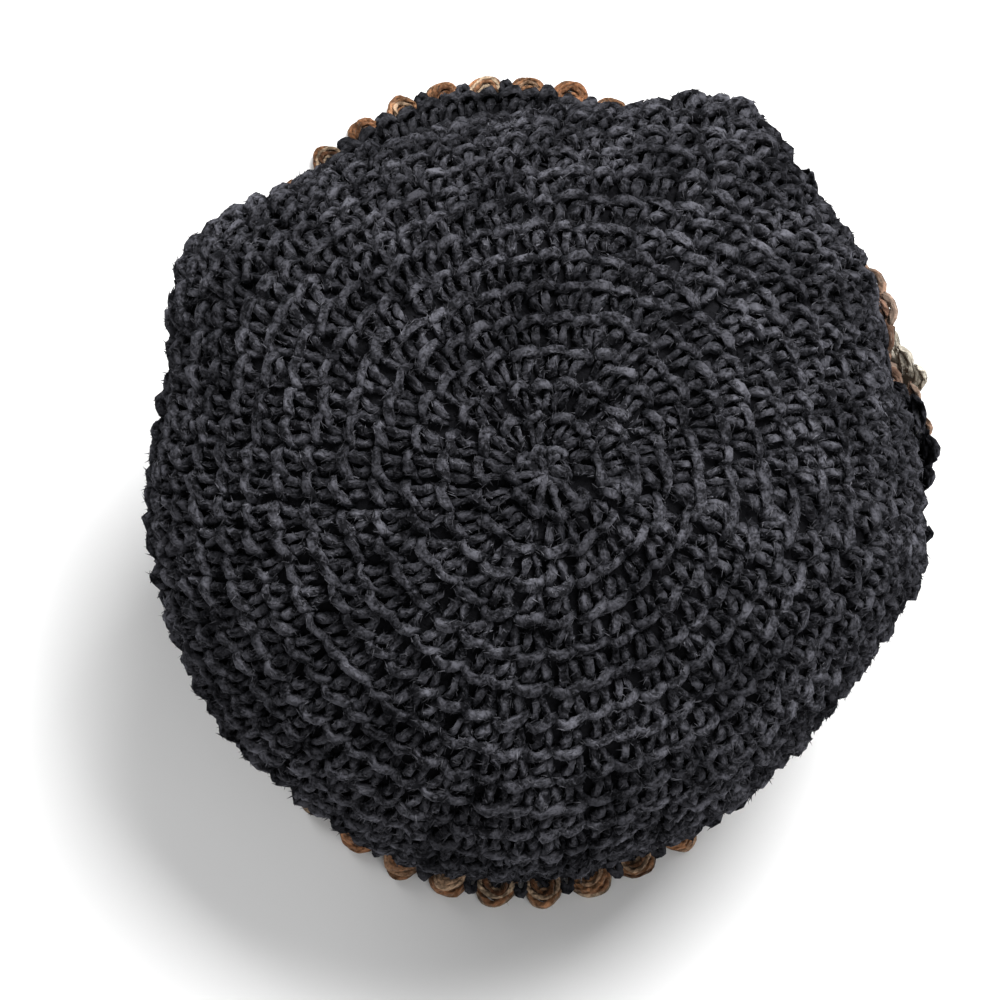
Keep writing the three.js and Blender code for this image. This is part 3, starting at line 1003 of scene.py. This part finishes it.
def edging_pieces():
    """Brown shells round the rim and the black stitches between them. Returns the shells."""
    shells = variants(shell_shape, "shell", 51)
    knots = variants(knot_shape, "knot", 61)
    between = np.arange(SHELLS) * (360 / SHELLS)
    middles = (np.arange(SHELLS) + 0.5) * (360 / SHELLS)
    cloud = rim_cloud("shell_points", middles, SHELL_OUT, SHELL_RISE, (1, 1, 1))
    edging = set_stitches(
        "shells", cloud, "brown_wool", 13, shells, "shell_edging",
        turn=0.07, spread=0.06, wander=0.8, lumps=0.9)
    clouds = {
        "shell_ties": rim_cloud("knot_points", between, SHELL_OUT, 0.0, (1, 1.1, 0.95)),
        "shell_middles": rim_cloud("middle_points", middles, SHELL_MIDDLE_OUT, 0.0, (0.6, 1, 0.9)),
    }
    # The black stitches between and under the shells take the brim's darker wool, painted shade.
    for seed, (name, cloud) in zip((15, 17), clouds.items()):
        set_stitches(
            name, cloud, "brim_wool", seed, knots, turn=0.15, spread=0.1, wander=0.8, lumps=1.5)
    drop(*shells, *knots)
    return edging


# The flower.

def flower_bed():
    """A function from millimetres beside and above the flower's middle to places over the hat."""
    samples = 200
    columns = smooth_rows(crown_rows(np.array([FLOWER_ANGLE, FLOWER_ANGLE + 1.0])), 24)
    spread = spread_rows(columns, np.linspace(0, 1, samples + 1))
    middle = spread[:, 0]
    length = np.linalg.norm(np.diff(middle, axis=0), axis=1).sum()
    row = round(FLOWER_ALONG * samples)
    degrees_per_mm = 1 / np.linalg.norm(spread[row, 1] - middle[row])

    def place(side, up):
        """A place on the crown's outer face."""
        share = np.clip(FLOWER_ALONG - up / length, 0, 1)
        columns = smooth_rows(crown_rows(FLOWER_ANGLE + side * degrees_per_mm), 12)
        return spread_rows(columns, share[None])[0]

    def bed(side, up, height):
        """A place at a height over the crown, and the outward direction there."""
        near = 4
        across = place(side + near, up) - place(side - near, up)
        upward = place(side, up + near) - place(side, up - near)
        out = unit(np.cross(upward, across))
        curl = np.where(side < 0, FLOWER_CURL_FRONT, FLOWER_CURL_BACK)
        lifted = height + curl * np.maximum(0, np.abs(side) - FLOWER_CURL_FROM)
        return place(side, up) + out * lifted[:, None], out

    return bed


BED = flower_bed()


def petal_reach(layer, turn):
    """How far a layer reaches at a turn, in degrees from its first notch."""
    swell = np.abs(np.sin(np.radians(turn * layer.petals / 2))) ** PETAL_FULLNESS
    return layer.reach * (1 - layer.notch * (1 - swell))


def petal_place(layer, turn, ring, over):
    """A place over a layer and the outward direction there: it takes the turn from the first
    notch, the share of the reach and the height."""
    reach = petal_reach(layer, turn) * ring
    direction = np.radians(turn + layer.turn)
    side = ring * layer.aside - np.sin(direction) * reach * layer.wide
    up = np.cos(direction) * reach
    lift = layer.lift + layer.tilt * np.maximum(0, -side)
    rise = layer.root + (lift - layer.root) * (reach / layer.reach) ** PETAL_CUP
    ruffle = PETAL_RUFFLE * ring ** 3 * np.sin(np.radians(turn * layer.petals * 3 + layer.turn))
    return BED(side, up, rise + PETAL_THICK / 2 + ruffle + over)


def petal_core(layer, material):
    """The body of a layer's petals, with low ribs that run out to its edge."""
    steps_a_petal, ribs_a_petal, rib_height = 18, 6, 0.25
    turns = np.arange(0, 360, 360 / (layer.petals * steps_a_petal))
    ribs = rib_height * np.sin(np.radians(turns * layer.petals * ribs_a_petal))
    rings = [0.03, 0.15, 0.3, 0.45, 0.6, 0.72, 0.82, 0.9, 0.95]
    rows = []
    for side_of in (1, -1):
        for ring in rings[::side_of]:
            half = PETAL_THICK / 2 * math.sqrt(1 - ring ** 4) * PETAL_CORE_SHARE + ribs * (1 - ring)
            place, _ = petal_place(layer, turns, np.full(len(turns), ring), side_of * half)
            rows.append(place)
    faces = sheet_faces(len(rows), len(turns), closed=True)
    core = new_object(layer.node + "_core", to_frame(np.concatenate(rows)), faces)
    finish_piece(core, material, layer.node)


def petal_cloud(layer, gap, side_of):
    """Points for the stitches of a layer's front (1) or back (-1), in rings that follow its petals'
    outline. The stitches lie on the petals' own curled surface and are larger than their places,
    so that no gap shows."""
    height = side_of * 0.1
    lean_to_outward = 0.2
    parts = []
    rings = int(layer.reach // gap)
    for ring in range(rings):
        share = (ring + 0.55) / rings
        girth = 2 * math.pi * layer.reach * share * 0.85
        count = layer.petals * max(2, round(girth / layer.petals / gap))
        turns = (np.arange(count) + 0.5 * (ring % 2)) * 360 / count
        place, out = petal_place(layer, turns, np.full(count, share), height)
        inner, _ = petal_place(layer, turns, np.full(count, share - 0.5 / rings), height)
        following = np.roll(place, -1, axis=0)
        wide = np.linalg.norm(following - place, axis=1)
        tall = 2 * np.linalg.norm(place - inner, axis=1)
        outward = unit(place - inner)
        over = np.cross(outward, unit(following - np.roll(place, 1, axis=0)))
        over *= np.sign((over * out).sum(axis=1, keepdims=True))
        out = unit(over + lean_to_outward * out) * side_of
        across = np.cross(square_to(out, outward), out)
        wide = np.clip(wide, gap, 1.4 * gap) / STITCH_WIDTH
        tall = np.clip(1.2 * tall, gap, 1.5 * gap) / STITCH_HEIGHT
        size = np.stack([wide, tall, np.full(count, PETAL_STITCH_RISE)], axis=1)
        parts.append((place, out, across, size))
    return point_cloud(layer.node + "_points", *(np.concatenate(values) for values in zip(*parts)))


def petal_edge(layer, material):
    """Two cords of yarn that wind about each other along the edge of a layer's petals."""
    aside, over = 0.9, 0.8  # how far a cord winds beside and over the line between the two
    quarters_a_petal = 16  # quarters of the cords' turns about each other
    quarters = np.arange(layer.petals * quarters_a_petal + 1)
    turns = quarters * 360 / quarters[-1]
    yarn = Yarn()
    for start in (0, math.pi):
        wind = start + quarters * math.pi / 2
        ring = PETAL_EDGE_AT + aside / layer.reach * np.cos(wind)
        path, _ = petal_place(layer, turns, ring, over * np.sin(wind))
        yarn.strand(path, PETAL_EDGE_RADIUS, 1, shade=start / 8)
    return finish_piece(yarn.make(layer.node + "_edge", SHIFT, FLOWER_YARN_HEIGHT), material)


def flower_pieces():
    """The flower: three crocheted layers and a coiled button. Returns the layers' edges."""
    edges = []
    for i, (layer, look) in enumerate(zip(FLOWER_LAYERS, PETAL_LOOKS)):
        petal_core(layer, look.core)
        sides = (("_front", 1, 21 + i, SHAPES), ("_back", -1, 31 + i, INNER_SHAPES))
        for side, side_of, seed, shapes in sides:
            cloud = petal_cloud(layer, look.gap, side_of)
            set_stitches(
                layer.node + side, cloud, look.yarn, seed, shapes, turn=0.16, wander=1.0, lumps=2.4)
        edges.append(petal_edge(layer, look.yarn))
    button_piece()
    return edges


def button_piece():
    """A coil of brown yarn that domes up from the middle of the flower."""
    t = np.linspace(0, 1, 44)
    radius = (BUTTON_RADIUS - BUTTON_YARN_RADIUS) * (1 - t) ** 0.75
    angle = 2 * math.pi * BUTTON_TURNS * t
    dome = (BUTTON_HEIGHT - 2 * BUTTON_YARN_RADIUS) * t * (2 - t)
    rise = BUTTON_ROOT + BUTTON_YARN_RADIUS + dome
    places, _ = BED(radius * np.cos(angle), radius * np.sin(angle), rise)
    yarn = Yarn()
    yarn.strand(places, BUTTON_YARN_RADIUS, 3, sides=8, shade=0.06)
    coil = yarn.make("flower_button_coil", SHIFT, FLOWER_YARN_HEIGHT)
    finish_piece(coil, "brown_wool", "flower_button")


# Fuzz.

def fuzz_piece(source, density, length, material, seed, radius=HAIR_RADIUS, lean=HAIR_LEAN,
               above=HAIR_FROM):
    """Loose fibres on a piece where it is above a height, so many to a square centimetre."""
    piece = run_tree(
        source.name + "_fuzz", source, FUZZ,
        density=density * 1e4, length=length * MM, thickness=radius * MM,
        least_turn=(lean[0], 0, 0), most_turn=(lean[1], 0, 2 * math.pi),
        least_height=above, seed=seed,
    )
    finish_piece(piece, material)


# Making the hat.

first_round, crown_top, crown_side, _ = crown_pieces()
brim_outside, _ = brim_pieces()
shell_edging = edging_pieces()
petal_edges = flower_pieces()
tufted = {
    first_round: FIRST_ROUND_TUFTS,
    crown_top: TOP_TUFTS,
    crown_side: SIDE_TUFTS,
    brim_outside: BRIM_TUFTS,
}
for i, (tufted_piece, tufts) in enumerate(tufted.items()):
    fuzz_piece(tufted_piece, tufts, TUFT_LENGTH, "black_fuzz", 40 + i, TUFT_RADIUS, TUFT_LEAN)
fuzz_piece(
    shell_edging, SHELL_HAIRS, SHELL_HAIR_LENGTH, "brown_fuzz", 44, lean=TUFT_LEAN,
    above=SHELL_HAIR_FROM)
for edge, look in zip(petal_edges, PETAL_LOOKS):
    fuzz_piece(edge, PETAL_HAIRS, PETAL_HAIR_LENGTH, look.fibre, 46)


# Surroundings.

def make_floor():
    """A plain pale floor, wider than any view of the hat needs."""
    half = 6.0
    corners = [(-half, -half, 0), (half, -half, 0), (half, half, 0), (-half, half, 0)]
    floor = new_object("floor", corners, [(0, 1, 2, 3)])
    material = bpy.data.materials.new("pale_floor")
    material.use_nodes = True
    shader = material.node_tree.nodes["Principled BSDF"]
    shader.inputs["Base Color"].default_value = (0.86, 0.86, 0.86, 1)
    shader.inputs["Roughness"].default_value = 0.95
    shader.inputs["Specular IOR Level"].default_value = 0.1
    floor.data.materials.append(material)


def aim(thing, target):
    direction = Vector(target) - thing.location
    thing.rotation_mode = "QUATERNION"
    thing.rotation_quaternion = direction.to_track_quat("-Z", "Y")


def make_light(name, place, size, watts, colour=(1, 1, 1)):
    light = bpy.data.lights.new(name, "AREA")
    light.shape = "SQUARE"
    light.size = size
    light.energy = watts
    light.color = colour
    lamp = placed(name, light)
    lamp.location = place
    aim(lamp, (0, 0.02, 0.08))


def make_lights():
    make_light("key", (-0.6, -0.6, 1.65), 0.9, 52)
    make_light("fill", (-0.7, 1.2, 1.1), 1.2, 8)
    make_light("side", (1.2, -1.2, 1.0), 1.0, 16)
    world = bpy.data.worlds.new("studio")
    world.use_nodes = True
    world.node_tree.nodes["Background"].inputs["Color"].default_value = (1, 1, 1, 1)
    world.node_tree.nodes["Background"].inputs["Strength"].default_value = 0.33
    bpy.context.scene.world = world


def make_camera():
    """The photograph's view, from behind the hat and high above it."""
    target = to_frame(CAMERA_AIM)
    elevation = math.radians(CAMERA_ELEVATION)
    back = np.array([0, math.cos(elevation), math.sin(elevation)])
    data = bpy.data.cameras.new("camera")
    data.lens = CAMERA_FOCAL_PIXELS / PICTURE_PIXELS * data.sensor_width
    camera = placed("camera", data)
    camera.location = target + back * CAMERA_DISTANCE * MM
    aim(camera, target)
    bpy.context.scene.camera = camera


make_floor()
make_lights()
make_camera()
bpy.context.scene.view_settings.view_transform = "Standard"
drop(*SHAPES, *INNER_SHAPES, *FIRST_SHAPES)
